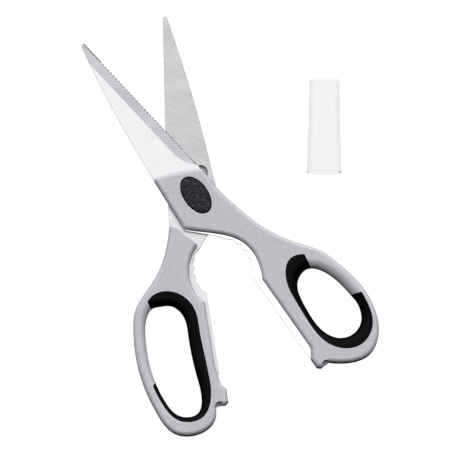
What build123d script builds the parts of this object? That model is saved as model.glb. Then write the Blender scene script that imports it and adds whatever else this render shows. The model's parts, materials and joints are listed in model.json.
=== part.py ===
from build123d import *
import math
import os

os.makedirs("parts", exist_ok=True)

# Kitchen shears lying open on a table, with their blade guard beside them.
# Millimetres. Z is up, the origin is on the pivot where the shears rest, and
# +Y runs along the rear half from the pivot to the tip of its blade.
# Each half is drawn as it stands when closed, with x counted outwards to its
# own finger loop and y towards the tip.

# Whole shears
opening_angle = 26.0
blade_thickness = 2.25
blade_gap = 0.1
cover_thickness = 3.5
overrun = 1.0

# Blades, ground on their outer faces only
front_reach = 98.9
rear_reach = 95.4
front_tip_offset = -1.8
rear_tip_offset = 2.3
tip_width = 2.0
tip_round = 0.6
front_edge_offset = 10.1
rear_edge_offset = 13.5
ricasso_height = 12.8
bevel_width = 5.3
edge_thickness = 0.4
grind_radius = 13.7
serration_pitch = 2.0
serration_depth = 0.5
serration_start = 13.0
serration_stop = 8.0

# Tangs, bare along their inner sides, with a heel below the blade
heel_width = 15.0
heel_drop = 11.5
front_strip_offset = 0.0
rear_strip_offset = 2.5
front_tang_length = 103.0
rear_tang_length = 93.0
front_tang_width = 6.6
rear_tang_width = 4.2
tang_waist_drop = 64.6
front_shoulder_width = 10.0
rear_shoulder_width = 15.7
lock_hole_radius = 1.3
lock_hole_offset = 11.0
lock_hole_drop = 33.0
relief_radius = 3.8
relief_offset = 4.3
relief_height = 12.0

# Nutcracker jaw, a toothed bay in each tang
jaw_top = 27.2
jaw_length = 23.4
jaw_depth = 5.4
jaw_cover_depth = 7.4
jaw_tooth_depth = 1.2
jaw_tooth_count = 5
jaw_hollow_share = 0.6
jaw_cover_foot = 55.3

# Pivot
pivot_radius = 3.0
pivot_clearance = 0.05
thread_radius = 2.0
pivot_head_radius = 4.8
pivot_head_height = 1.4
driver_slot_width = 1.0
driver_slot_depth = 0.7
washer_radius = 5.1
washer_thickness = 0.45
washer_clearance = 0.1
pocket_clearance = 0.5
cap_half_width = 6.4
cap_half_length = 10.8
cap_thickness = 1.35
cap_fit = 0.05
cap_edge = 0.3
pocket_taper = 45.0

# Handle mouldings: a cover over the pivot, a neck and a finger loop
cover_top = 20.0
cover_shoulder = 9.6
cover_bulge = 1.0
front_cover_spine = 13.3
rear_cover_spine = 10.3
front_cover_width = 10.8
rear_cover_width = 13.2
front_neck_width = 36.0
rear_neck_width = 38.7
neck_length = 60.0
front_strip_width = 3.3
rear_strip_width = 1.7
rear_strip_taper = 11.0
corner_round = 1.6
rim_round = 2.0
front_hole_round = 4.6
rear_hole_round = 3.6
front_nub_drop = 103.5
rear_nub_drop = 101.6
front_nub_length = 6.9
rear_nub_length = 8.1
nub_gap = 0.15
nub_bevel = 1.4
nub_round = 1.2
nub_depth = 7.0
nub_scoop_radius = 2.0
nub_scoop_depth = 3.6

# Finger holes
front_hole_width = 23.3
front_hole_length = 41.3
front_hole_offset = 25.0
front_hole_drop = 84.8
front_wall = 7.2
rear_hole_width = 24.4
rear_hole_length = 59.6
rear_hole_offset = 25.5
rear_hole_drop = 83.3
rear_wall = 6.1

# Soft grips, moulded into the finger holes
front_grip_wall = 4.2
rear_grip_wall = 6.4
tongue_thickness = 3.0
tongue_depth = 1.4

# Blade guard
guard_length = 49.0
guard_width = 18.0
guard_waist_width = 16.0
guard_waist_height = 28.0
guard_top_width = 15.5
guard_height = 7.6
guard_wall = 1.1
guard_round = 3.0
guard_offset = 67.7
guard_forward = 2.0
guard_lean = 9.3

# Outlines, as shares of the sizes that each follows
front_spine_shares = ((-0.50, 0.77), (-0.75, 0.44), (-0.89, 0.15))
rear_spine_shares = ((-0.20, 0.82), (-0.42, 0.635), (-0.63, 0.41), (-0.79, 0.185))
heel_shares = ((-0.42, 0.73), (-0.13, 0.90))
front_tang_shares = ((0.85, -0.55), (1.20, -0.45), (1.35, -0.32), (1.0, -0.12), (0.97, 0.0))
rear_tang_shares = (
    (0.54, -0.60), (0.76, -0.50), (0.87, -0.36), (0.93, -0.23), (1.0, -0.15), (0.95, -0.03), (0.90, 0.06),
)
front_neck_shares = ((0.31, -0.04), (0.375, -0.235), (0.48, -0.47), (0.645, -0.69), (0.85, -0.87))
rear_neck_shares = ((0.375, -0.04), (0.42, -0.24), (0.49, -0.39), (0.63, -0.58), (0.82, -0.73))
bay_shares = ((0.80, -0.95), (1.0, -0.57), (0.73, -0.21), (-0.16, 0.16), (-1.2, 0.46))
shoulder_shares = ((1.08, 0.53), (0.89, 0.55), (0.59, 0.73), (0.32, 0.87), (0.20, 0.97))

# Round each finger hole: place, outer wall and grip. First the bare side.
front_bare_shares = ((0.42, 0.85, 1.28), (0.72, 0.54, 1.02), (0.90, 0.14, 1.0))
front_grip_shares = (
    (0.99, -0.27, 0.98, 1.17), (0.93, -0.60, 0.98, 1.15), (0.62, -0.88, 1.34, 1.5),
    (0.09, -1.0, 1.88, 1.71), (-0.50, -0.91, 1.80, 1.33), (-0.90, -0.62, 0.0, 0.95),
    (-1.04, -0.25, 0.0, 0.71), (-1.02, 0.12, 0.0, 0.69), (-0.94, 0.48, 0.0, 0.80),
    (-0.71, 0.82, 0.0, 1.3), (-0.20, 1.0, 0.0, 2.19), (0.05, 1.0, 0.0, 1.75),
)
rear_bare_shares = ((0.75, 0.86, 1.08), (0.94, 0.60, 1.0), (0.99, 0.29, 1.02), (0.97, -0.03, 1.0))
rear_grip_shares = (
    (0.82, -0.36, 1.03, 0.31), (0.52, -0.71, 1.12, 0.33), (-0.02, -0.97, 1.54, 0.42),
    (-0.72, -0.96, 1.55, 0.54), (-0.99, -0.66, 0.0, 0.80), (-0.92, -0.28, 0.0, 0.98),
    (-0.85, 0.07, 0.0, 1.03), (-0.84, 0.42, 0.0, 0.97), (-0.77, 0.75, 0.0, 1.05),
    (-0.30, 0.97, 0.0, 1.1), (0.18, 0.99, 0.0, 1.05), (0.50, 0.975, 0.0, 0.60),
)

handle_thickness = 2 * (cover_thickness + blade_thickness) + blade_gap
inner_height = cover_thickness + blade_thickness + blade_gap
outer_height = inner_height + blade_thickness

# The front half is turned open about the pivot. The rear half is the same
# kind of part turned over, so its loop falls on the other side.
front_plane = Plane.XY.rotated((0, 0, opening_angle))
rear_plane = Plane(origin=(0, 0, handle_thickness), x_dir=(-1, 0, 0), z_dir=(0, 0, -1))


def places(shares, across, along, start=0):
    return [(start + x * across, y * along) for x, y in shares]


def hole_ring(rows, offset, drop, width, length):
    return [(offset + row[0] * width / 2, row[1] * length / 2 - drop) for row in rows]


def walled(ring, rows, column, wall):
    """Points a wall outside a ring that runs clockwise, for the rows that have that wall."""
    points = []
    for index, row in enumerate(rows):
        if len(row) > column and row[column] > 0:
            before = Vector(*ring[index - 1])
            along = (Vector(*ring[(index + 1) % len(ring)]) - before).normalized()
            point = Vector(*ring[index]) + Vector(-along.Y, along.X) * (row[column] * wall)
            points.append((point.X, point.Y))
    return points


def jaw_teeth(strip):
    """The zigzag of the toothed bay, from its lower end up to the heel."""
    points = [(strip, -jaw_top - jaw_length)]
    steps = 2 * jaw_tooth_count
    for step in range(1, steps):
        hollow = math.sin(math.pi * step / steps) ** jaw_hollow_share
        tooth = jaw_tooth_depth * hollow if step % 2 == 0 else 0
        points.append((strip + jaw_depth * hollow - tooth, -jaw_top - jaw_length * (1 - step / steps)))
    return points + [(strip, -jaw_top)]


def serrated_edge(tip, root):
    """The cutting edge from its tip to its root, with a fine zigzag between."""
    start = Vector(*tip)
    along = (Vector(*root) - start).normalized()
    inward = Vector(along.Y, -along.X)
    count = int(((Vector(*root) - start).length - serration_start - serration_stop) / serration_pitch)
    points = [start]
    for tooth in range(count):
        crest = start + along * (serration_start + tooth * serration_pitch)
        points += [crest, crest + along * (serration_pitch / 2) + inward * serration_depth]
    return points + [Vector(*root)]


def steel_lines(reach, tip, root, strip, spine_shares, tang_length, tang_width, tang_back, serrated):
    """Outline of a blade and its tang, from the tip down the spine and round."""
    heel = strip - heel_width
    tip_back = (tip[0] - tip_width, reach)
    heel_corner = (heel, -heel_drop)
    Spline(tip_back, *places(spine_shares, -heel, reach), heel_corner)
    teeth = jaw_teeth(strip)
    Spline(heel_corner, *places(heel_shares, heel_width, -jaw_top, strip), teeth[-1])
    Polyline(*reversed(teeth))
    tang_foot = (strip + tang_width, -tang_length)
    tang_waist = (strip + tang_width, -tang_waist_drop)
    Polyline(teeth[0], (strip, -tang_length), tang_foot, tang_waist)
    Spline(tang_waist, *tang_back, root)
    if serrated:
        Polyline(*reversed(serrated_edge(tip, root)))
    else:
        Line(root, tip)
    Line(tip, tip_back)


def grind_section(half_plane, tip, root):
    """The plane across the edge where the bevel starts to run out, x towards the
    spine and y through the steel. From there it curves off and ends at the root."""
    along = (Vector(*tip) - Vector(*root)).normalized()
    run_out = math.sqrt((grind_radius + bevel_width) ** 2 - grind_radius ** 2)
    start = Vector(*root) + along * run_out
    origin = half_plane.from_local_coords((start.X, start.Y, inner_height))
    reach = half_plane.from_local_coords((start.X - along.Y, start.Y + along.X, inner_height))
    return Plane(origin=origin, x_dir=reach - origin, z_dir=(reach - origin).cross(half_plane.z_dir))


def grind_profile():
    """The steel taken off by the bevel, a wedge that opens past the edge."""
    slope = (blade_thickness - edge_thickness) / bevel_width
    with BuildSketch() as profile:
        with BuildLine():
            Polyline(
                (bevel_width, blade_thickness),
                (-overrun, edge_thickness - slope * overrun),
                (-overrun, blade_thickness + overrun),
                (bevel_width, blade_thickness + overrun),
                close=True,
            )
        make_face()
    return profile.sketch


def moulding_lines(strip, spine_corner, side_corner, neck, contour, nub_foot, inner_side):
    """Outline of a handle moulding, from the pivot cover down its outer side and round."""
    heel = strip - heel_width
    cover_middle = (
        (spine_corner[0] + side_corner[0]) / 2,
        (spine_corner[1] + side_corner[1]) / 2 + cover_bulge,
    )
    ThreePointArc(spine_corner, cover_middle, side_corner)
    Spline(side_corner, *neck, *contour, (nub_depth, nub_foot))
    nub_corner = [(nub_gap + nub_bevel, nub_foot), (nub_gap, nub_foot + nub_bevel)]
    Polyline((nub_depth, nub_foot), *nub_corner, *inner_side)
    bay = [(strip + x * jaw_cover_depth, y * jaw_length - jaw_top) for x, y in bay_shares]
    Spline(inner_side[-1], *bay, (heel, -heel_drop + overrun))
    Line((heel, -heel_drop + overrun), spine_corner)


def far_side(shares):
    """The part of a half that swings over or under the other half's heel."""
    line = places(shares, heel_width, -jaw_top)
    side = heel_width + cover_top
    with BuildSketch() as region:
        with BuildLine():
            Spline(*line)
            corners = [(-side, line[-1][1]), (-side, side), (side, side), (side, line[0][1])]
            Polyline(line[-1], *corners, line[0])
        make_face()
    return region.sketch


def grip_region(ring, rows, grip_wall):
    """The soft grip's outline on the moulding, closed through the middle of the hole."""
    walls = walled(ring, rows, 3, grip_wall)
    middle = Vector(sum(x for x, y in ring) / len(ring), sum(y for x, y in ring) / len(ring))
    with BuildSketch() as region:
        with BuildLine():
            Spline(*walls)
            Polyline(walls[-1], middle, walls[0])
        make_face()
    return region.sketch


def grip_space(half_plane, ring, rows, grip_wall):
    """What the soft grip takes out of a moulding, with a groove for the moulding's tongue."""
    with BuildPart() as space:
        with BuildSketch(half_plane.offset(-overrun)):
            add(grip_region(ring, rows, grip_wall))
        extrude(amount=handle_thickness + 2 * overrun)
        with BuildSketch(half_plane.offset((handle_thickness - tongue_thickness) / 2)):
            add(grip_region(ring, rows, grip_wall))
            add(grip_region(ring, rows, grip_wall - tongue_depth), mode=Mode.SUBTRACT)
        extrude(amount=tongue_thickness, mode=Mode.SUBTRACT)
    return space.part


def pivot_pocket(half_plane):
    """The stepped hole in a cover: oval for the cap, round for the head, small in the steel."""
    with BuildPart() as pocket:
        with BuildSketch(half_plane.offset(handle_thickness - cap_thickness)):
            Ellipse(cap_half_width + cap_fit, cap_half_length + cap_fit)
        extrude(amount=cap_thickness + overrun)
        with BuildSketch(half_plane.offset(handle_thickness - cap_edge)):
            Ellipse(cap_half_width + cap_fit, cap_half_length + cap_fit)
        extrude(amount=cap_edge + overrun, taper=-pocket_taper)
        with BuildSketch(half_plane.offset(outer_height)):
            Circle(washer_radius + pocket_clearance)
        extrude(amount=handle_thickness - outer_height)
        with BuildSketch(half_plane.offset(inner_height)):
            Circle(pivot_radius + pivot_clearance)
        extrude(amount=blade_thickness)
    return pocket.part


# Places round each finger hole
front_rows = front_grip_shares + front_bare_shares
rear_rows = rear_grip_shares + rear_bare_shares
front_ring = hole_ring(front_rows, front_hole_offset, front_hole_drop, front_hole_width, front_hole_length)
rear_ring = hole_ring(rear_rows, rear_hole_offset, rear_hole_drop, rear_hole_width, rear_hole_length)
front_outside = walled(front_ring, front_rows, 2, front_wall)
rear_outside = walled(rear_ring, rear_rows, 2, rear_wall)
front_contour = front_outside[-len(front_bare_shares):] + front_outside[:-len(front_bare_shares)]
rear_contour = rear_outside[-len(rear_bare_shares):] + rear_outside[:-len(rear_bare_shares)]

front_tip = (front_tip_offset, front_reach)
front_root = (front_edge_offset, ricasso_height)
rear_tip = (rear_tip_offset, rear_reach)
rear_root = (rear_edge_offset, ricasso_height)
front_inner_side = (
    (nub_gap, -front_nub_drop),
    (front_strip_offset + front_strip_width, -front_nub_drop + front_strip_width + nub_bevel),
    (front_strip_offset + front_strip_width, -jaw_cover_foot),
)
rear_inner_side = (
    (nub_gap, -rear_nub_drop),
    (rear_strip_offset, -rear_nub_drop + rear_strip_offset),
    (rear_strip_offset + rear_strip_width, -rear_nub_drop + rear_strip_offset + rear_strip_taper),
    (rear_strip_offset + rear_strip_width, -jaw_cover_foot),
)
front_nub_foot = -front_nub_drop - front_nub_length
rear_nub_foot = -rear_nub_drop - rear_nub_length
front_neck = places(front_neck_shares, front_neck_width, neck_length)
rear_neck = places(rear_neck_shares, rear_neck_width, neck_length)
front_tang_back = places(front_tang_shares, front_shoulder_width, front_tang_length)
rear_tang_back = places(rear_tang_shares, rear_shoulder_width, rear_tang_length)
quarter_turn = 90

# Front blade: stamped stainless steel, ground and finely serrated on its edge
front_grind = grind_section(front_plane, front_tip, front_root)
front_grind_axis = Axis(front_grind.from_local_coords((-grind_radius, 0, 0)), front_plane.z_dir)
with BuildPart() as front_blade:
    with BuildSketch(front_plane.offset(inner_height)) as front_steel:
        with BuildLine():
            steel_lines(
                front_reach, front_tip, front_root, front_strip_offset,
                front_spine_shares, front_tang_length, front_tang_width, front_tang_back, True,
            )
        make_face()
        fillet(front_steel.vertices().sort_by(Axis.Y)[-2:], tip_round)
        Circle(pivot_radius + pivot_clearance, mode=Mode.SUBTRACT)
        with Locations((lock_hole_offset, -lock_hole_drop)):
            Circle(lock_hole_radius, mode=Mode.SUBTRACT)
    extrude(amount=blade_thickness)
    with BuildSketch(front_grind):
        add(grind_profile())
    extrude(amount=front_reach, mode=Mode.SUBTRACT)
    with BuildSketch(front_grind):
        add(grind_profile())
    revolve(axis=front_grind_axis, revolution_arc=quarter_turn, mode=Mode.SUBTRACT)
front_blade.part.label = "front_blade"
export_step(front_blade.part, "parts/front_blade.step")

# Rear blade: the same steel turned over, its edge plain, with a round relief
# hole above the pivot
rear_grind = grind_section(rear_plane, rear_tip, rear_root)
rear_grind_axis = Axis(rear_grind.from_local_coords((-grind_radius, 0, 0)), rear_plane.z_dir)
with BuildPart() as rear_blade:
    with BuildSketch(rear_plane.offset(inner_height)) as rear_steel:
        with BuildLine():
            steel_lines(
                rear_reach, rear_tip, rear_root, rear_strip_offset,
                rear_spine_shares, rear_tang_length, rear_tang_width, rear_tang_back, False,
            )
        make_face()
        fillet(rear_steel.vertices().sort_by(Axis.Y)[-2:], tip_round)
        Circle(pivot_radius + pivot_clearance, mode=Mode.SUBTRACT)
        with Locations((-relief_offset, relief_height)):
            Circle(relief_radius, mode=Mode.SUBTRACT)
        with Locations((lock_hole_offset, -lock_hole_drop)):
            Circle(lock_hole_radius, mode=Mode.SUBTRACT)
    extrude(amount=blade_thickness)
    with BuildSketch(rear_grind):
        add(grind_profile())
    extrude(amount=rear_reach, mode=Mode.SUBTRACT)
    with BuildSketch(rear_grind):
        add(grind_profile())
    revolve(axis=rear_grind_axis, revolution_arc=quarter_turn, mode=Mode.SUBTRACT)
rear_blade.part.label = "rear_blade"
export_step(rear_blade.part, "parts/rear_blade.step")

# Front moulding before anything is let into it
with BuildPart() as front_blank:
    with BuildSketch(front_plane) as front_outline:
        with BuildLine():
            moulding_lines(
                front_strip_offset, (-front_cover_spine, cover_top), (front_cover_width, cover_shoulder),
                front_neck, front_contour, front_nub_foot, front_inner_side,
            )
        make_face()
        fillet(front_outline.vertices().filter_by(lambda corner: corner.Y > 0), corner_round)
        fillet(front_outline.vertices().sort_by_distance((nub_depth, front_nub_foot))[0], nub_round)
    extrude(amount=handle_thickness)
    fillet(front_blank.faces().filter_by(Axis.Z).edges(), rim_round)
    with BuildSketch(front_plane):
        with BuildLine():
            Spline(*front_ring, periodic=True)
        make_face()
    extrude(amount=handle_thickness, mode=Mode.SUBTRACT)
    fillet(front_blank.edges(Select.LAST).filter_by(GeomType.BSPLINE), front_hole_round)
    with BuildSketch(front_plane, front_plane.offset(handle_thickness - nub_scoop_depth)):
        with Locations((nub_depth - nub_scoop_radius, front_nub_foot)):
            Circle(nub_scoop_radius)
    extrude(amount=nub_scoop_depth, mode=Mode.SUBTRACT)

# Rear moulding before anything is let into it
with BuildPart() as rear_blank:
    with BuildSketch(rear_plane) as rear_outline:
        with BuildLine():
            moulding_lines(
                rear_strip_offset, (-rear_cover_spine, cover_top), (rear_cover_width, cover_shoulder),
                rear_neck, rear_contour, rear_nub_foot, rear_inner_side,
            )
        make_face()
        fillet(rear_outline.vertices().filter_by(lambda corner: corner.Y > 0), corner_round)
        fillet(rear_outline.vertices().sort_by_distance((nub_depth, rear_nub_foot))[0], nub_round)
    extrude(amount=handle_thickness)
    fillet(rear_blank.faces().filter_by(Axis.Z).edges(), rim_round)
    with BuildSketch(rear_plane):
        with BuildLine():
            Spline(*rear_ring, periodic=True)
        make_face()
    extrude(amount=handle_thickness, mode=Mode.SUBTRACT)
    fillet(rear_blank.edges(Select.LAST).filter_by(GeomType.BSPLINE), rear_hole_round)
    with BuildSketch(rear_plane, rear_plane.offset(handle_thickness - nub_scoop_depth)):
        with Locations((nub_depth - nub_scoop_radius, rear_nub_foot)):
            Circle(nub_scoop_radius)
    extrude(amount=nub_scoop_depth, mode=Mode.SUBTRACT)

# Soft grips: a liner moulded into each finger hole, keyed on a tongue of the
# hard moulding
front_grip_space = grip_space(front_plane, front_ring, front_rows, front_grip_wall)
with BuildPart() as front_grip:
    add(front_blank.part)
    add(front_grip_space, mode=Mode.INTERSECT)
front_grip.part.label = "front_grip"
export_step(front_grip.part, "parts/front_grip.step")

rear_grip_space = grip_space(rear_plane, rear_ring, rear_rows, rear_grip_wall)
with BuildPart() as rear_grip:
    add(rear_blank.part)
    add(rear_grip_space, mode=Mode.INTERSECT)
rear_grip.part.label = "rear_grip"
export_step(rear_grip.part, "parts/rear_grip.step")

# Handle mouldings: hard plastic moulded round the tangs, with a cover over the
# outer face of the pivot and nothing on the inner face above the shoulder
with BuildPart() as front_handle:
    add(front_blank.part)
    with BuildSketch(front_plane.offset(-overrun)):
        add(far_side(shoulder_shares))
    extrude(amount=inner_height + overrun, mode=Mode.SUBTRACT)
    add(pivot_pocket(front_plane), mode=Mode.SUBTRACT)
    add(front_blade.part, mode=Mode.SUBTRACT)
    add(front_grip_space, mode=Mode.SUBTRACT)
front_handle.part.label = "front_handle"
export_step(front_handle.part, "parts/front_handle.step")

with BuildPart() as rear_handle:
    add(rear_blank.part)
    with BuildSketch(rear_plane.offset(-overrun)):
        add(far_side(shoulder_shares))
    extrude(amount=inner_height + overrun, mode=Mode.SUBTRACT)
    add(pivot_pocket(rear_plane), mode=Mode.SUBTRACT)
    with BuildSketch(rear_plane.offset(inner_height)):
        with Locations((-relief_offset, relief_height)):
            Circle(relief_radius)
    extrude(amount=blade_thickness, mode=Mode.SUBTRACT)
    add(rear_blade.part, mode=Mode.SUBTRACT)
    add(rear_grip_space, mode=Mode.SUBTRACT)
rear_handle.part.label = "rear_handle"
export_step(rear_handle.part, "parts/rear_handle.step")

# Pivot screw: a flat slotted head, a shoulder that both blades turn on and a
# thinner end for the nut
head_height = outer_height + washer_thickness
nut_height = handle_thickness - head_height
with BuildPart() as pivot_screw:
    with BuildSketch(Plane.XY.offset(head_height)):
        Circle(pivot_head_radius)
    extrude(amount=pivot_head_height)
    with BuildSketch(Plane.XY.offset(nut_height)):
        Circle(pivot_radius)
    extrude(amount=head_height - nut_height)
    with BuildSketch(Plane.XY.offset(nut_height - pivot_head_height)):
        Circle(thread_radius)
    extrude(amount=pivot_head_height)
    with BuildSketch(Plane.XY.offset(head_height + pivot_head_height - driver_slot_depth)):
        Rectangle(2 * pivot_head_radius + overrun, driver_slot_width)
    extrude(amount=driver_slot_depth, mode=Mode.SUBTRACT)
pivot_screw.part.label = "pivot_screw"
export_step(pivot_screw.part, "parts/pivot_screw.step")

# Nut that clamps the rear half to the screw
with BuildPart() as pivot_nut:
    with BuildSketch(Plane.XY.offset(nut_height - pivot_head_height)):
        Circle(pivot_head_radius)
        Circle(thread_radius + pivot_clearance, mode=Mode.SUBTRACT)
        with PolarLocations((thread_radius + pivot_head_radius) / 2, 2):
            Circle(driver_slot_width / 2, mode=Mode.SUBTRACT)
    extrude(amount=pivot_head_height)
pivot_nut.part.label = "pivot_nut"
export_step(pivot_nut.part, "parts/pivot_nut.step")

# Thin washers between the steel and the head and nut
with BuildPart() as front_washer:
    with BuildSketch(Plane.XY.offset(outer_height)):
        Circle(washer_radius)
        Circle(pivot_radius + washer_clearance, mode=Mode.SUBTRACT)
    extrude(amount=washer_thickness)
front_washer.part.label = "front_washer"
export_step(front_washer.part, "parts/front_washer.step")

with BuildPart() as rear_washer:
    with BuildSketch(Plane.XY.offset(nut_height)):
        Circle(washer_radius)
        Circle(pivot_radius + washer_clearance, mode=Mode.SUBTRACT)
    extrude(amount=washer_thickness)
rear_washer.part.label = "rear_washer"
export_step(rear_washer.part, "parts/rear_washer.step")

# Oval caps that hide the head and the nut, pressed into their covers
with BuildPart() as front_pivot_cap:
    with BuildSketch(front_plane.offset(handle_thickness - cap_thickness)):
        Ellipse(cap_half_width, cap_half_length)
    extrude(amount=cap_thickness)
    chamfer(front_pivot_cap.edges().sort_by(Axis.Z)[-1], cap_edge)
front_pivot_cap.part.label = "front_pivot_cap"
export_step(front_pivot_cap.part, "parts/front_pivot_cap.step")

with BuildPart() as rear_pivot_cap:
    with BuildSketch(rear_plane.offset(handle_thickness - cap_thickness)):
        Ellipse(cap_half_width, cap_half_length)
    extrude(amount=cap_thickness)
    chamfer(rear_pivot_cap.edges().sort_by(Axis.Z)[0], cap_edge)
rear_pivot_cap.part.label = "rear_pivot_cap"
export_step(rear_pivot_cap.part, "parts/rear_pivot_cap.step")

# Blade guard: a flattened sleeve, closed at its top, that widens towards its
# mouth and lies beside the blades
lean = math.radians(guard_lean)
guard_mouth = Plane(
    origin=(guard_offset, guard_forward, guard_height / 2),
    x_dir=(math.cos(lean), -math.sin(lean), 0),
    z_dir=(math.sin(lean), math.cos(lean), 0),
)
with BuildPart() as blade_guard:
    with BuildSketch(guard_mouth):
        RectangleRounded(guard_width, guard_height, guard_round)
    with BuildSketch(guard_mouth.offset(guard_waist_height)):
        RectangleRounded(guard_waist_width, guard_height, guard_round)
    with BuildSketch(guard_mouth.offset(guard_length)):
        RectangleRounded(guard_top_width, guard_height, guard_round)
    loft(ruled=True)
    fillet(blade_guard.faces().sort_by(Axis(guard_mouth.origin, guard_mouth.z_dir))[-1].edges(), guard_wall)
    bore_height = guard_height - 2 * guard_wall
    bore_round = guard_round - guard_wall
    with BuildSketch(guard_mouth):
        RectangleRounded(guard_width - 2 * guard_wall, bore_height, bore_round)
    with BuildSketch(guard_mouth.offset(guard_waist_height)):
        RectangleRounded(guard_waist_width - 2 * guard_wall, bore_height, bore_round)
    with BuildSketch(guard_mouth.offset(guard_length - guard_wall)):
        RectangleRounded(guard_top_width - 2 * guard_wall, bore_height, bore_round)
    loft(ruled=True, mode=Mode.SUBTRACT)
blade_guard.part.label = "blade_guard"
export_step(blade_guard.part, "parts/blade_guard.step")
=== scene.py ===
import json
import math

import bmesh
import bpy
from mathutils import Matrix, Vector


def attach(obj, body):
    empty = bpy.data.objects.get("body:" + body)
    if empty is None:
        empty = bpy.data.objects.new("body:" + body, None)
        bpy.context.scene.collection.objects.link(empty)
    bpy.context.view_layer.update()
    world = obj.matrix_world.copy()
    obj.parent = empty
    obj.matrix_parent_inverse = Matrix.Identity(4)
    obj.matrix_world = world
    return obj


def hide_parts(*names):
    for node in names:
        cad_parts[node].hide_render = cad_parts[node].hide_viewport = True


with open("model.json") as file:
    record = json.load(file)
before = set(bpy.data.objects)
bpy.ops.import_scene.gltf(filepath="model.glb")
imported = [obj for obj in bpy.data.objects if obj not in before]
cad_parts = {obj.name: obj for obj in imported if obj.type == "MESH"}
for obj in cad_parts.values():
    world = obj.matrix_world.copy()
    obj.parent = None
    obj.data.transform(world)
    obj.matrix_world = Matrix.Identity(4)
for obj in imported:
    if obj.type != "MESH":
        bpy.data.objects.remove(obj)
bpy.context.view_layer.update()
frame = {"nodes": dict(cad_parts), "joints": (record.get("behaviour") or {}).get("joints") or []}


# Table: a plain white sheet under the shears, part of the studio and not of the
# shears. It looks white to the eye and takes only their soft shadow, and it
# gives back less light than it shows, as a sheet in a dark room does.
MM = 0.001
table_size = 2.4
table_drop = 0.02 * MM
table_bounce = "383838"
table_glow = 1.03
table_shadow_share = 0.06
white = "ffffff"
scene = bpy.context.scene


def linear(code):
    """The linear colour of an sRGB hex code."""
    channels = [int(code[i:i + 2], 16) / 255 for i in (0, 2, 4)]
    return [c / 12.92 if c <= 0.04045 else ((c + 0.055) / 1.055) ** 2.4 for c in channels] + [1.0]


def feed(node, inputs):
    """Gives each input a value, or a link from a socket."""
    for name, value in inputs.items():
        if isinstance(value, bpy.types.NodeSocket):
            node.id_data.links.new(value, node.inputs[name])
        else:
            node.inputs[name].default_value = value


def put(tree, kind, inputs=None, **settings):
    """Adds a node with its settings and inputs."""
    node = tree.nodes.new(kind)
    for name, value in settings.items():
        setattr(node, name, value)
    feed(node, inputs or {})
    return node


def new_mesh(name, points, faces):
    """A new object in the scene from its corners and faces."""
    mesh = bpy.data.meshes.new(name)
    mesh.from_pydata(points, [], faces)
    piece = bpy.data.objects.new(name, mesh)
    scene.collection.objects.link(piece)
    return piece


half = table_size / 2
table_top = new_mesh(
    "table_top",
    [(x, y, -table_drop) for x, y in ((-half, -half), (half, -half), (half, half), (-half, half))],
    [(0, 1, 2, 3)],
)

# White paper: to the eye, and through clear plastic, it is all but shadowless.
paper = bpy.data.materials.new("white table paper")
paper.use_nodes = True
tree = paper.node_tree
tree.nodes.clear()
lit = put(tree, "ShaderNodeBsdfDiffuse", {"Color": linear(white)})
glow = put(tree, "ShaderNodeEmission", {"Color": linear(white), "Strength": table_glow})
shown = put(tree, "ShaderNodeMixShader", {0: 1 - table_shadow_share, 1: lit.outputs[0], 2: glow.outputs[0]})
bounced = put(tree, "ShaderNodeBsdfDiffuse", {"Color": linear(table_bounce)})
rays = put(tree, "ShaderNodeLightPath").outputs
seen = put(
    tree, "ShaderNodeMath", {0: rays["Is Camera Ray"], 1: rays["Is Transmission Ray"]}, operation="MAXIMUM"
).outputs[0]
both = put(tree, "ShaderNodeMixShader", {0: seen, 1: bounced.outputs[0], 2: shown.outputs[0]})
put(tree, "ShaderNodeOutputMaterial", {"Surface": both.outputs[0]})
table_top.data.materials.append(paper)


# Studio light: one broad white source over the shears and behind their tips, and
# a low one at the left. The side of the onlooker stays dark, so that walls and
# rims which look that way are drawn darker than the flats.
photo_turn = math.radians(-9.0)
upward = Vector((0, 0, 1))
right_way = Vector((math.cos(photo_turn), math.sin(photo_turn), 0))
back_way = Vector((-right_way.y, right_way.x, 0))

# A source's place is given to the right, to the back and up. Its span is how
# near a ray points to its middle, as a cosine, where it starts and is full.
overhead = (0.12, 0.76, 0.64)
overhead_span = (0.50, 0.72)
overhead_level = 2.3
left_side = (-0.90, 0.30, 0.32)
left_span = (0.60, 0.95)
left_level = 0.6
unlit_level = 0.01


def soft_source(tree, place, span, level):
    """The light that a broad soft source gives along a ray."""
    middle = (place[0] * right_way + place[1] * back_way + place[2] * upward).normalized()
    ray = put(tree, "ShaderNodeTexCoord").outputs["Generated"]
    nearness = put(tree, "ShaderNodeVectorMath", {0: ray, 1: middle}, operation="DOT_PRODUCT").outputs["Value"]
    return put(
        tree, "ShaderNodeMapRange",
        {"Value": nearness, "From Min": span[0], "From Max": span[1], "To Min": 0.0, "To Max": level},
        interpolation_type="SMOOTHSTEP",
    ).outputs["Result"]


world = bpy.data.worlds.new("studio")
scene.world = world
world.use_nodes = True
tree = world.node_tree
tree.nodes.clear()
above = soft_source(tree, overhead, overhead_span, overhead_level)
beside = soft_source(tree, left_side, left_span, left_level)
sources = put(tree, "ShaderNodeMath", {0: above, 1: beside}, operation="ADD").outputs[0]
level = put(tree, "ShaderNodeMath", {0: sources, 1: unlit_level}, operation="ADD").outputs[0]
room = put(tree, "ShaderNodeBackground", {"Color": linear(white), "Strength": level})
put(tree, "ShaderNodeOutputWorld", {"Surface": room.outputs[0]})
scene.view_settings.view_transform = "Standard"


# Camera: high above and a little on the onlooker's side, which shows a sliver of
# the walls there, and turned so that the rear half leans as in the photograph.
photo_width = 233.4 * MM
photo_centre = (12.56 * MM, -17.2 * MM)
picture_level = 7.0 * MM
camera_tilt = math.radians(6.0)
camera_distance = 4.0
sensor_width = 36

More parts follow.
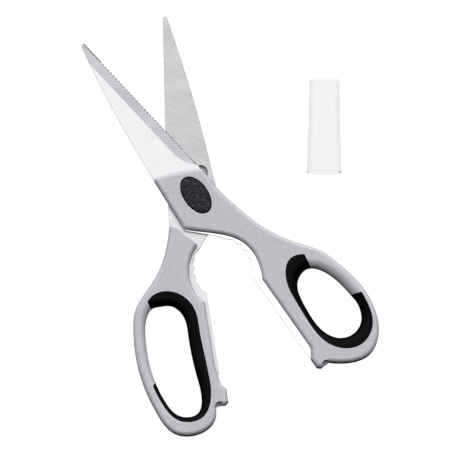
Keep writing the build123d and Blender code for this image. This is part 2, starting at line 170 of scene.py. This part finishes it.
camera = bpy.data.objects.new("camera", bpy.data.cameras.new("camera"))
camera.data.sensor_width = sensor_width
camera.data.lens = sensor_width * camera_distance / photo_width
camera.location = Vector((*photo_centre, picture_level)) + camera_distance * (
    math.cos(camera_tilt) * upward - math.sin(camera_tilt) * back_way
)
camera.rotation_euler = (camera_tilt, 0, photo_turn)
scene.collection.objects.link(camera)
scene.camera = camera


# Blades: each is one stamping of stainless steel with its tang. The outer face
# is polished and ground along the edge, the inner face is ground flat above
# the pivot, and the stamped walls carry painted shade on the front blade and painted light on the rear. Their sharp
# edges are broken and take the walls' paint.
joints = {joint["name"]: joint for joint in frame["joints"]}
opening = -math.radians(joints["blade_pivot"]["range_deg"][0])
front_turn = Matrix.Rotation(opening, 3, "Z")

# Faces that meet at less than a flat joint become one. Past a sharp corner the
# edge is broken, and past a crease the shading is.
flat_joint = math.radians(0.4)
sharp_corner = math.radians(28.0)
blade_crease = math.radians(8.0)
joined_distance = 0.002 * MM
steel_edge_break = 0.2 * MM
edge_segments = 2

# A noise's values mostly lie in this span.
noise_span = (0.35, 0.65)


def finish(name, metallic=0.0):
    """A new material, its tree and its Principled shader."""
    material = bpy.data.materials.new(name)
    material.use_nodes = True
    shader = material.node_tree.nodes["Principled BSDF"]
    shader.inputs["Metallic"].default_value = metallic
    return material, material.node_tree, shader


def grain(tree, size, detail=2.0):
    """Noise whose specks measure size along the piece's own x, y and z."""
    place = put(tree, "ShaderNodeTexCoord").outputs["Object"]
    place = put(tree, "ShaderNodeMapping", {"Vector": place, "Scale": size}, vector_type="TEXTURE").outputs[0]
    return put(tree, "ShaderNodeTexNoise", {"Vector": place, "Scale": 1.0, "Detail": detail}).outputs["Fac"]


def toned(tree, pattern, span, first, second):
    """A colour that goes from the first to the second as the pattern crosses the span."""
    share = put(tree, "ShaderNodeMapRange", {"Value": pattern, "From Min": span[0], "From Max": span[1]})
    # Inputs 6 and 7 and output 2 of a mix are its colours.
    mix = put(tree, "ShaderNodeMix", {0: share.outputs["Result"], 6: first, 7: second}, data_type="RGBA")
    return mix.outputs[2]


def rounded_copy(node, name, edge_break, crease=sharp_corner):
    """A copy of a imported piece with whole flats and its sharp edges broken, as it leaves the shop."""
    piece = bpy.data.objects.new(name, frame["nodes"][node].data.copy())
    scene.collection.objects.link(piece)
    form = bmesh.new()
    form.from_mesh(piece.data)
    bmesh.ops.remove_doubles(form, verts=form.verts, dist=joined_distance)
    bmesh.ops.dissolve_limit(form, angle_limit=flat_joint, verts=form.verts, edges=form.edges)
    form.to_mesh(piece.data)
    form.free()
    piece.data.materials.clear()
    piece.data.shade_smooth()
    piece.data.set_sharp_from_angle(angle=crease)
    bevel = piece.modifiers.new("edges", "BEVEL")
    bevel.width = edge_break
    bevel.segments = edge_segments
    bevel.limit_method = "ANGLE"
    bevel.angle_limit = sharp_corner
    bevel.miter_outer = "MITER_ARC"
    piece.modifiers.new("normals", "WEIGHTED_NORMAL").keep_sharp = True
    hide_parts(node)
    return piece


# Ground steel shows the wheel's lines as faint arcs and dulls in soft clouds. Real
# lines lie under 0.1 mm apart, so they are drawn wider apart to show. A line
# runs for some forty spacings before it breaks.
line_run = 40
line_detail = 3.0
line_strength = 0.25
cloud_size = (25 * MM, 12 * MM, 25 * MM)
line_and_cloud_span = (0.8, 1.2)
ground_roughness_play = 0.03


def wheel_lines(tree, centre, spacing):
    """Fine arcs round a far point, as a grinding wheel leaves them, broken here and there."""
    place = put(tree, "ShaderNodeTexCoord").outputs["Object"]
    away = put(tree, "ShaderNodeVectorMath", {0: place, 1: centre}, operation="DISTANCE").outputs["Value"]
    along = put(tree, "ShaderNodeSeparateXYZ", {0: place}).outputs["X"]
    across = put(tree, "ShaderNodeMath", {0: away, 1: spacing}, operation="DIVIDE").outputs[0]
    drift = put(tree, "ShaderNodeMath", {0: along, 1: line_run * spacing}, operation="DIVIDE").outputs[0]
    arc = put(tree, "ShaderNodeCombineXYZ", {0: across, 1: drift}).outputs[0]
    return put(tree, "ShaderNodeTexNoise", {"Vector": arc, "Scale": 1.0, "Detail": line_detail}).outputs["Fac"]


def ground_steel(name, tones, roughness, centre, spacing, depth):
    """Stainless steel ground on a wheel that turned about the centre."""
    material, tree, shader = finish(name, metallic=1.0)
    darker, lighter = map(linear, tones)
    lines = wheel_lines(tree, centre, spacing)
    cloud = grain(tree, cloud_size)
    both = put(tree, "ShaderNodeMath", {0: lines, 1: cloud}, operation="ADD").outputs[0]
    dull = put(tree, "ShaderNodeMapRange", {
        "Value": lines, "From Min": noise_span[0], "From Max": noise_span[1],
        "To Min": roughness + ground_roughness_play, "To Max": roughness - ground_roughness_play,
    })
    bump = put(tree, "ShaderNodeBump", {"Height": lines, "Strength": line_strength, "Distance": depth})
    feed(shader, {
        "Base Color": toned(tree, both, line_and_cloud_span, darker, lighter),
        "Roughness": dull.outputs["Result"], "Normal": bump.outputs[0],
    })
    return material


# Polished steel mirrors the light almost whole, with a faint cloud in its shine.
polished_tones = ("a4a4a6", "aeaeaf")
polished_roughness = 0.14
polished_roughness_play = 0.05
polished_cloud_size = 3 * (14 * MM,)


def polished_steel(name):
    """Stainless steel polished after stamping."""
    material, tree, shader = finish(name, metallic=1.0)
    darker, lighter = map(linear, polished_tones)
    cloud = grain(tree, polished_cloud_size)
    dull = put(tree, "ShaderNodeMapRange", {
        "Value": cloud, "From Min": noise_span[0], "From Max": noise_span[1],
        "To Min": polished_roughness - polished_roughness_play,
        "To Max": polished_roughness + polished_roughness_play,
    })
    feed(shader, {
        "Base Color": toned(tree, cloud, (0.0, 1.0), darker, lighter),
        "Roughness": dull.outputs["Result"],
    })
    return material


# The walls that the die sheared are dull. On the front blade they are painted dark, as painted shade,
# and on the rear blade lighter, as painted light. The serrations are ground steeper than the bevel,
# and their faces are painted dark beside it, as painted shade.
wall_lines = {"centre": Vector((0, 0, 90 * MM)), "spacing": 0.4 * MM, "depth": 0.01 * MM}
shaded_wall_steel = ground_steel(
    "front blade walls in painted shade", tones=("404044", "505054"), roughness=0.45, **wall_lines
)
lit_wall_steel = ground_steel(
    "rear blade walls in painted light", tones=("86868a", "98989c"), roughness=0.6, **wall_lines
)
scallop_shade_steel = ground_steel(
    "serration faces in painted shade", tones=("3c3c40", "4a4a4e"), roughness=0.5, **wall_lines
)

# The bevel and the inner face are ground on one wheel, at the side of the blade. The bevel's darker tone is painted
# shade.
bevel_look_in_shade = {"tones": ("8b8a8e", "939296"), "roughness": 0.36}
inner_look = {"tones": ("9d9c9f", "a7a6a8"), "roughness": 0.34}
wheel_side = Vector((-54 * MM, -75 * MM, 0))
line_spacing = 0.7 * MM
line_depth = 0.004 * MM

# Below these levels the tang's bare strips are painted lighter, as painted light.
strip_light_level = -2 * MM
tang_start = -16 * MM
tang_step = 1 * MM
painted_light_strip = "bababc"
painted_light_tang = "cacacc"

# The blade's finishes in the order of its materials, and how squarely a face
# looks outward for the flats and for the bevel.
outer_face, bevel_face, inner_face, wall_face, scallop_face = range(5)
flat_facing = 0.999
bevel_facing = 0.85


def paint_light_below(material, tip_way, level, colour):
    """Paints light onto a material below a level along the blade, as a lighter colour."""
    tree = material.node_tree
    shader = tree.nodes["Principled BSDF"]
    place = put(tree, "ShaderNodeTexCoord").outputs["Object"]
    height = put(tree, "ShaderNodeVectorMath", {0: place, 1: tip_way}, operation="DOT_PRODUCT").outputs["Value"]
    worked = shader.inputs["Base Color"].links[0].from_socket
    feed(shader, {"Base Color": toned(tree, height, (level - tang_step, level), linear(colour), worked)})


def dress_blade(node, body, outward, turn, walls):
    """Gives a blade its edges, and its finishes by the way that its faces look."""
    piece = rounded_copy(node, node + "_steel", steel_edge_break, crease=blade_crease)
    tip_way = turn @ Vector((0, 1, 0))
    face_lines = {"centre": turn @ wheel_side, "spacing": line_spacing, "depth": line_depth}
    # The bevel takes the darker tone, as painted shade.
    bevel = ground_steel(node + " ground bevel", **bevel_look_in_shade, **face_lines)
    inner = ground_steel(node + " ground inner face", **inner_look, **face_lines)
    polished = polished_steel(node + " polished steel")
    for material in (polished, bevel, inner, walls, scallop_shade_steel):
        piece.data.materials.append(material)
    # Faces that look sideways are the walls, in painted shade or painted light.
    for face in piece.data.polygons:
        facing = face.normal.z * outward
        if facing > flat_facing:
            face.material_index = outer_face
        elif facing > bevel_facing:
            face.material_index = bevel_face
        elif facing < -flat_facing:
            face.material_index = inner_face
        else:
            face.material_index = wall_face
    # The broken edges take the walls' painted shade or painted light.
    piece.modifiers["edges"].material = wall_face
    # The tang's bare strips take painted light below their levels.
    paint_light_below(polished, tip_way, tang_start, painted_light_tang)
    paint_light_below(inner, tip_way, strip_light_level, painted_light_strip)
    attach(piece, body)
    return piece


# The rear blade's walls are in painted light, the front blade's in painted shade.
dress_blade("rear_blade", "rear_half", -1, Matrix.Identity(3), lit_wall_steel)
front_steel = dress_blade("front_blade", "front_half", 1, front_turn, shaded_wall_steel)

edge_tip = front_turn @ Vector((-1.8 * MM, 98.9 * MM, 0))
edge_root = front_turn @ Vector((10.1 * MM, 12.8 * MM, 0))
scallop_depth = 0.52 * MM
scallop_start = 12 * MM
scallop_end = 87 * MM


def paint_scallop_shade(piece):
    """Paints the serration faces in a row along the front edge dark, as painted shade for their steep facets."""
    along = (edge_root - edge_tip).normalized()
    inward = Vector((along.y, -along.x, 0))
    form = bmesh.new()
    form.from_mesh(piece.data)
    bevel_faces = [face for face in form.faces if face.material_index == bevel_face]
    near = set(bevel_faces)
    for face in bevel_faces:
        near.update(face.edges)
        near.update(face.verts)
    bmesh.ops.bisect_plane(
        form, geom=list(near), dist=joined_distance, plane_co=edge_tip + scallop_depth * inward, plane_no=inward
    )
    for face in form.faces:
        middle = face.calc_center_median() - edge_tip
        in_row = scallop_start < middle.dot(along) < scallop_end
        if face.material_index == bevel_face and middle.dot(inward) < scallop_depth and in_row:
            face.material_index = scallop_face
    form.to_mesh(piece.data)
    form.free()


paint_scallop_shade(front_steel)


# Handles: hard grey plastic moulded round the tangs in one shot, satin from the
# spark-eroded mould, with every rim rounded for the hand.
moulded_edge_break = 0.2 * MM


def moulded(
    name, tones, mottle, relief, relief_strength, relief_depth, roughness,
    mottle_detail=2.0, relief_detail=2.0, mottle_span=noise_span, shine=0.5, shine_tint=white,
):
    """A moulded material: a mottle of two tones under the fine relief that the mould leaves."""
    material, tree, shader = finish(name)
    darker, lighter = map(linear, tones)
    mottling = grain(tree, 3 * (mottle,), mottle_detail)
    pits = grain(tree, 3 * (relief,), relief_detail)
    dull = put(tree, "ShaderNodeMapRange", {
        "Value": pits, "From Min": noise_span[0], "From Max": noise_span[1],
        "To Min": roughness[0], "To Max": roughness[1],
    })
    bump = put(tree, "ShaderNodeBump", {"Height": pits, "Strength": relief_strength, "Distance": relief_depth})
    feed(shader, {
        "Base Color": toned(tree, mottling, mottle_span, darker, lighter),
        "Roughness": dull.outputs["Result"], "Normal": bump.outputs[0],
        "Specular IOR Level": shine, "Specular Tint": linear(shine_tint),
    })
    return material


# Satin polypropylene gives the eye an even grey with a faint mottle. The sparks'
# pits measure about 0.1 mm, so pits and mottle are drawn coarser to show.
satin_grey = moulded(
    "satin moulded grey polypropylene", tones=("b1b0b8", "bab9c0"),
    mottle=1.1 * MM, mottle_detail=3.0,
    relief=0.5 * MM, relief_detail=3.0, relief_strength=0.35, relief_depth=0.03 * MM,
    roughness=(0.38, 0.48),
)

# The rear cover's spine, where its edge is trimmed to stay behind the steel.
cover_top = 7 * MM
spine_foot = (12.5 * MM, -11.5 * MM)
spine_top = (9.6 * MM, 20 * MM)
spine_trim = 0.8 * MM


def trim_spine(piece):
    """Draws the rear cover's edge in along its spine, from nothing at the foot."""
    for vertex in piece.data.vertices:
        share = (vertex.co.y - spine_foot[1]) / (spine_top[1] - spine_foot[1])
        if share > 0 and vertex.co.z < cover_top:
            spine = spine_foot[0] + share * (spine_top[0] - spine_foot[0])
            vertex.co.x = min(vertex.co.x, spine - share * spine_trim)


for node, body in (("front_handle", "front_half"), ("rear_handle", "rear_half")):
    piece = rounded_copy(node, node + "_moulding", moulded_edge_break)
    if node == "rear_handle":
        trim_spine(piece)
    piece.data.materials.append(satin_grey)
    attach(piece, body)


# Grips: soft black rubber moulded into the finger loops over a tongue of the
# hard plastic. It is a matte, deep black with hardly any shine. Its grain keeps
# the fingers dry, and is drawn coarser than its real 0.3 mm to show.
soft_black = moulded(
    "soft black moulded rubber", tones=("020203", "060608"),
    mottle=6 * MM, relief=1.0 * MM, relief_strength=0.8, relief_depth=0.3 * MM,
    roughness=(0.36, 0.48), shine=0.05,
)

for node, body in (("front_grip", "front_half"), ("rear_grip", "rear_half")):
    piece = rounded_copy(node, node + "_rubber", moulded_edge_break)
    piece.data.materials.append(soft_black)
    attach(piece, body)


# Pivot caps: oval black plastic covers pressed over the screw's head and over
# its nut. A slightly domed field of small pebbles stands inside a lower flange,
# so that a dark groove runs round it.
cap_corners = [vertex.co for vertex in frame["nodes"]["rear_pivot_cap"].data.vertices]
cap_half_width = max(abs(corner.x) for corner in cap_corners)
cap_half_length = max(abs(corner.y) for corner in cap_corners)
cap_height = max(corner.z for corner in cap_corners)
cap_level = max(vertex.co.z for vertex in frame["nodes"]["front_pivot_cap"].data.vertices) - cap_height

flange_width = 0.55 * MM
flange_top = cap_height - 0.95 * MM
field_rounding = 0.15 * MM
field_top = cap_height - 0.5 * MM
dome_rise = 0.1 * MM
ring_points = 96
rounding_rings = 3
dome_rings = 5

# The pebbles are drawn larger than real ones, which measure about 0.3 mm, so
# that they show.
pebble_radius = 0.5 * MM
pebble_spacing = 0.95 * MM
pebble_height_share = 0.65
pebble_smallest = 0.75
pebble_largest = 1.2
pebbles_per_square_metre = 4e6

# Fine grained plastic is near black and a little cool. Its paler specks are painted glints, for the light
# that the pebbles catch, and are drawn as wide as the pebbles are.
cap_black = moulded(
    "black cap plastic with painted glints", tones=("08080a", "323238"),
    mottle=0.9 * MM, mottle_detail=1.0, mottle_span=(0.42, 0.62),
    relief=0.15 * MM, relief_strength=0.4, relief_depth=0.03 * MM,
    roughness=(0.16, 0.26), shine=0.22, shine_tint="dedcff",
)


def pebbled(material):
    """Geometry nodes that set pebbles on the faces marked as the field."""
    group = bpy.data.node_groups.new("cap pebbles", "GeometryNodeTree")
    sockets = group.interface
    for name, kind in (("Geometry", "Geometry"), ("Spacing", "Float"), ("Radius", "Float"), ("Seed", "Int")):
        sockets.new_socket(name, in_out="INPUT", socket_type="NodeSocket" + kind)
    sockets.new_socket("Geometry", in_out="OUTPUT", socket_type="NodeSocketGeometry")
    given = put(group, "NodeGroupInput").outputs
    field = put(group, "GeometryNodeInputNamedAttribute", {"Name": "field"}, data_type="BOOLEAN")
    spots = put(
        group, "GeometryNodeDistributePointsOnFaces",
        {
            "Mesh": given["Geometry"], "Selection": field.outputs["Attribute"],
            "Distance Min": given["Spacing"], "Density Max": pebbles_per_square_metre, "Seed": given["Seed"],
        },
        distribute_method="POISSON",
    )
    ball = put(group, "GeometryNodeMeshIcoSphere", {"Radius": given["Radius"], "Subdivisions": 2})
    pebble = put(
        group, "GeometryNodeTransform",
        {"Geometry": ball.outputs["Mesh"], "Scale": (1.0, 1.0, pebble_height_share)},
    )
    # Inputs 2 and 3 and output 1 are those for one number, not for a vector.
    spread = put(group, "FunctionNodeRandomValue", {2: pebble_smallest, 3: pebble_largest, "Seed": given["Seed"]})
    pebbles = put(
        group, "GeometryNodeInstanceOnPoints",
        {"Points": spots.outputs["Points"], "Instance": pebble.outputs[0], "Scale": spread.outputs[1]},
    )
    real = put(group, "GeometryNodeRealizeInstances", {"Geometry": pebbles.outputs[0]})
    smooth = put(group, "GeometryNodeSetShadeSmooth", {"Geometry": real.outputs[0]})
    whole = put(group, "GeometryNodeJoinGeometry", {"Geometry": given["Geometry"]})
    feed(whole, {"Geometry": smooth.outputs[0]})
    painted = put(group, "GeometryNodeSetMaterial", {"Geometry": whole.outputs[0], "Material": material})
    put(group, "NodeGroupOutput", {"Geometry": painted.outputs[0]})
    return group


def cap_rings():
    """Half widths, half lengths and heights of the cap's rings, from its bottom edge to near the middle of
    its dome, and how many of them come before the dome."""
    profile = [(0, 0), (0, flange_top), (flange_width, flange_top), (flange_width, field_top - field_rounding)]
    for step in range(1, rounding_rings + 1):
        turn = math.pi / 2 * step / rounding_rings
        inset = flange_width + field_rounding * (1 - math.cos(turn))
        profile.append((inset, field_top - field_rounding * (1 - math.sin(turn))))
    rings = [(cap_half_width - inset, cap_half_length - inset, height) for inset, height in profile]
    field_half_width, field_half_length, _ = rings[-1]
    for step in range(1, dome_rings + 1):
        share = 1 - step / (dome_rings + 1)
        rings.append((field_half_width * share, field_half_length * share, field_top + dome_rise * (1 - share ** 2)))
    return rings, len(profile)


def cap_body(name):
    """The cap without its pebbles, face up at the origin, with the field's faces marked."""
    rings, edge_rings = cap_rings()
    points = []
    for half_width, half_length, height in rings:
        for step in range(ring_points):
            turn = 2 * math.pi * step / ring_points
            points.append(Vector((half_width * math.cos(turn), half_length * math.sin(turn), height)))
    points.append(Vector((0, 0, field_top + dome_rise)))
    faces = [tuple(reversed(range(ring_points)))]
    field = [False]
    for ring in range(len(rings) - 1):
        for step in range(ring_points):
            here = ring * ring_points + step
            after = ring * ring_points + (step + 1) % ring_points
            faces.append((here, after, after + ring_points, here + ring_points))
            field.append(ring >= edge_rings - 1)
    last = (len(rings) - 1) * ring_points
    for step in range(ring_points):
        faces.append((last + step, last + (step + 1) % ring_points, len(points) - 1))
        field.append(True)
    piece = new_mesh(name, points, faces)
    piece.data.attributes.new("field", "BOOLEAN", "FACE").data.foreach_set("value", field)
    piece.data.shade_smooth()
    return piece


def pivot_cap(name, node, body, place, seed):
    """One oval cap with its pebbles, put in its cover."""
    piece = cap_body(name)
    modifier = piece.modifiers.new("pebbles", "NODES")
    modifier.node_group = pebbled(cap_black)
    given = {"Spacing": pebble_spacing, "Radius": pebble_radius, "Seed": seed}
    for item in modifier.node_group.interface.items_tree:
        if item.in_out == "INPUT" and item.name in given:
            modifier[item.identifier] = given[item.name]
    grown = bpy.data.meshes.new_from_object(piece.evaluated_get(bpy.context.evaluated_depsgraph_get()))
    piece.modifiers.clear()
    piece.data = grown
    grown.transform(place)
    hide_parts(node)
    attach(piece, body)


upright = Matrix.Rotation(opening, 4, "Z") @ Matrix.Translation((0, 0, cap_level))
turned_over = Matrix.Translation((0, 0, cap_height)) @ Matrix.Rotation(math.pi, 4, "Y")
pivot_cap("front_pivot_cap_oval", "front_pivot_cap", "front_half", upright, seed=3)
pivot_cap("rear_pivot_cap_oval", "rear_pivot_cap", "rear_half", turned_over, seed=8)


# Pivot screw, nut and washers: turned from steel bar, which leaves fine rings
# round the axis. The front half turns on the screw's shoulder, and the nut
# draws the stack together from behind. The caps hide them.
turned_steel = ground_steel(
    "turned pivot steel", tones=("a8a8a8", "b9b9b9"), roughness=0.3,
    centre=Vector((0, 0, 0)), spacing=0.3 * MM, depth=0.01 * MM,
)
for node in ("pivot_screw", "pivot_nut", "front_washer", "rear_washer"):
    mesh = frame["nodes"][node].data
    mesh.materials.clear()
    mesh.materials.append(turned_steel)


# Blade guard: a flattened sleeve blown from milky polypropylene, closed at its
# top end, that slips over the closed blades.
guard_edge_break = 0.15 * MM
guard_turn = math.radians(9.3)
mouth_place = Vector((67.7 * MM, 2 * MM, 0))
mouth_way = Vector((math.sin(guard_turn), math.cos(guard_turn), 0))
mouth_zone = 1 * MM
mouth_slant = 0.1

# Milky polypropylene lets the table's white through and hardly darkens at its
# edges. The typical IOR is 1.49, and a lower one is matched to those pale edges.
milky, tree, shader = finish("milky translucent polypropylene")
feed(shader, {"Base Color": linear("fdfdfd"), "Roughness": 0.3, "Transmission Weight": 0.9, "IOR": 1.2})
piece = rounded_copy("blade_guard", "blade_guard_sleeve", guard_edge_break)
for vertex in piece.data.vertices:
    if (vertex.co - mouth_place).dot(mouth_way) < mouth_zone:
        vertex.co += mouth_slant * vertex.co.z * mouth_way
piece.data.materials.append(milky)
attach(piece, "guard")
